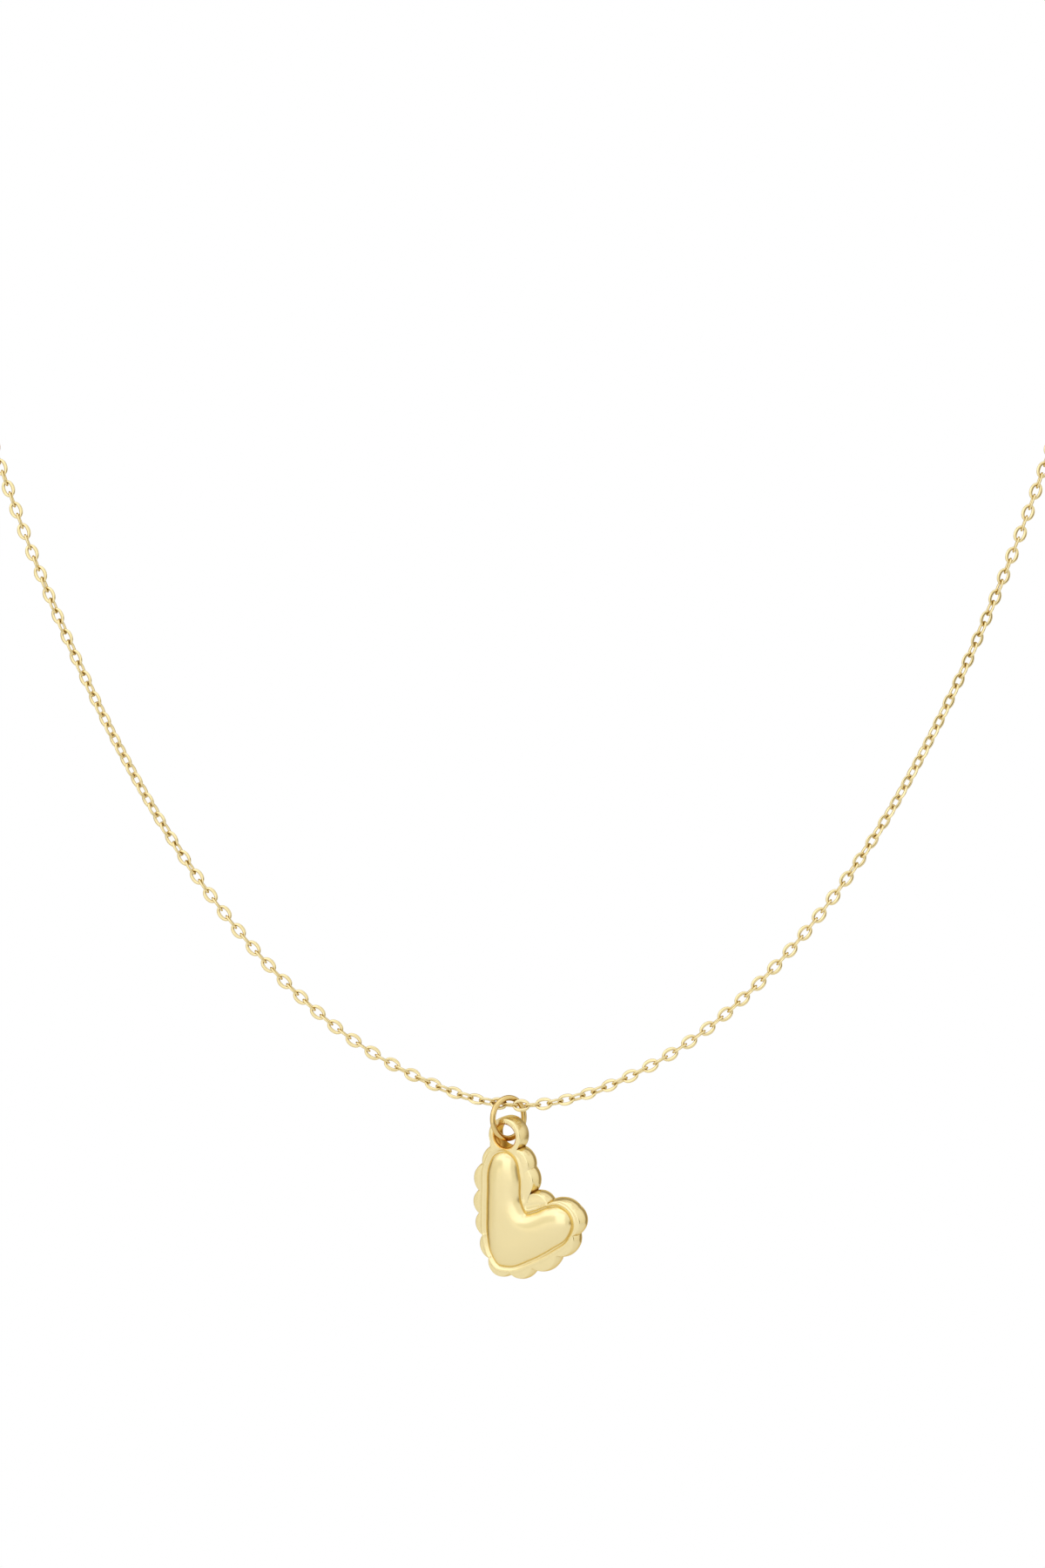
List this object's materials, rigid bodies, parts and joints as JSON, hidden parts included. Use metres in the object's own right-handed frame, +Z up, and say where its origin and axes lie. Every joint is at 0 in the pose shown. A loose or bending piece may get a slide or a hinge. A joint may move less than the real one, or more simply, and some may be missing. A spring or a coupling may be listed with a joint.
{
  "type": "pendant necklace",
  "caption": "Fine cable chain with a lobster clasp and a jump ring carrying a puffed heart pendant with a scalloped edge.",
  "frame": {"origin": "middle of the closure at the nape, on the chain's centreline, where the neck carries the loop", "axes": "+X to the viewer's right, +Y away from the viewer, +Z up; the loop hangs in the XZ plane with the pendant below"},
  "size_m": [0.1346, 0.0095, 0.1832],
  "materials": {
    "chain": "polished pale gold",
    "pendant": "satin pale gold",
    "ring": "polished gold",
    "closure": "polished pale gold",
    "steel": "plain spring steel"
  },
  "bodies": {
    "nape_chain": {"left_back_chain": "chain", "right_back_chain": "chain", "left_link_110": "chain", "right_link_110": "chain", "left_end_link": "chain", "right_end_link": "chain", "clasp_ring": "closure", "end_ring": "closure"},
    "clasp": {"clasp_body": "closure", "clasp_pin": "steel", "clasp_spring": "steel"},
    "clasp_trigger": {"clasp_lever": "closure"},
    "upper_chain": {"left_upper_chain": "chain", "right_upper_chain": "chain", "left_link_109": "chain", "right_link_109": "chain", "left_link_70": "chain", "right_link_70": "chain"},
    "middle_chain": {"left_middle_chain": "chain", "right_middle_chain": "chain", "left_link_69": "chain", "right_link_69": "chain", "left_link_34": "chain", "right_link_34": "chain"},
    "lower_chain": {"left_lower_chain": "chain", "right_lower_chain": "chain", "left_link_33": "chain", "right_link_33": "chain", "left_link_16": "chain", "right_link_16": "chain"},
    "front_chain": {"left_front_chain": "chain", "right_front_chain": "chain", "left_link_15": "chain", "right_link_15": "chain", "centre_link_1": "chain", "centre_link_2": "chain", "centre_link_3": "chain", "centre_link_4": "chain", "centre_link_5": "chain", "centre_link_6": "chain", "centre_link_7": "chain"},
    "hanging_ring": {"jump_ring": "ring"},
    "pendant": {"heart_pendant": "pendant"}
  },
  "joints": [
    {"name": "upper_fold", "type": "hinge", "parent": "nape_chain", "child": "upper_chain", "pos_m": [0.00002, 0, -0.0446], "axis": [1, 0, -0.0023], "range_deg": [-30, 30]},
    {"name": "middle_fold", "type": "hinge", "parent": "upper_chain", "child": "middle_chain", "pos_m": [-0.00005, 0, -0.09554], "axis": [1, 0, -0.0025], "range_deg": [-30, 30]},
    {"name": "lower_fold", "type": "hinge", "parent": "middle_chain", "child": "lower_chain", "pos_m": [-0.00009, 0, -0.13715], "axis": [1, 0, -0.0034], "range_deg": [-30, 30]},
    {"name": "front_fold", "type": "hinge", "parent": "lower_chain", "child": "front_chain", "pos_m": [-0.00013, 0, -0.15359], "axis": [1, 0, -0.0045], "range_deg": [-30, 30]},
    {"name": "ring_swing", "type": "hinge", "parent": "front_chain", "child": "hanging_ring", "pos_m": [-0.00162, 0, -0.16043], "axis": [1, 0, 0], "range_deg": [-12, 12]},
    {"name": "pendant_swing", "type": "hinge", "parent": "hanging_ring", "child": "pendant", "pos_m": [-0.00162, 0, -0.16195], "axis": [-0.6428, 0.766, 0], "range_deg": [-20, 20]},
    {"name": "clasp_roll", "type": "hinge", "parent": "nape_chain", "child": "clasp", "pos_m": [0, 0, 0], "axis": [1, 0, 0], "range_deg": [-12, 12]},
    {"name": "clasp_trigger_turn", "type": "hinge", "parent": "clasp", "child": "clasp_trigger", "pos_m": [-0.0003, 0, -0.0007], "axis": [0, -1, 0], "range_deg": [0, 18], "stiffness_Nm_per_rad": 0.004, "springref_deg": -2.86}
  ]
}
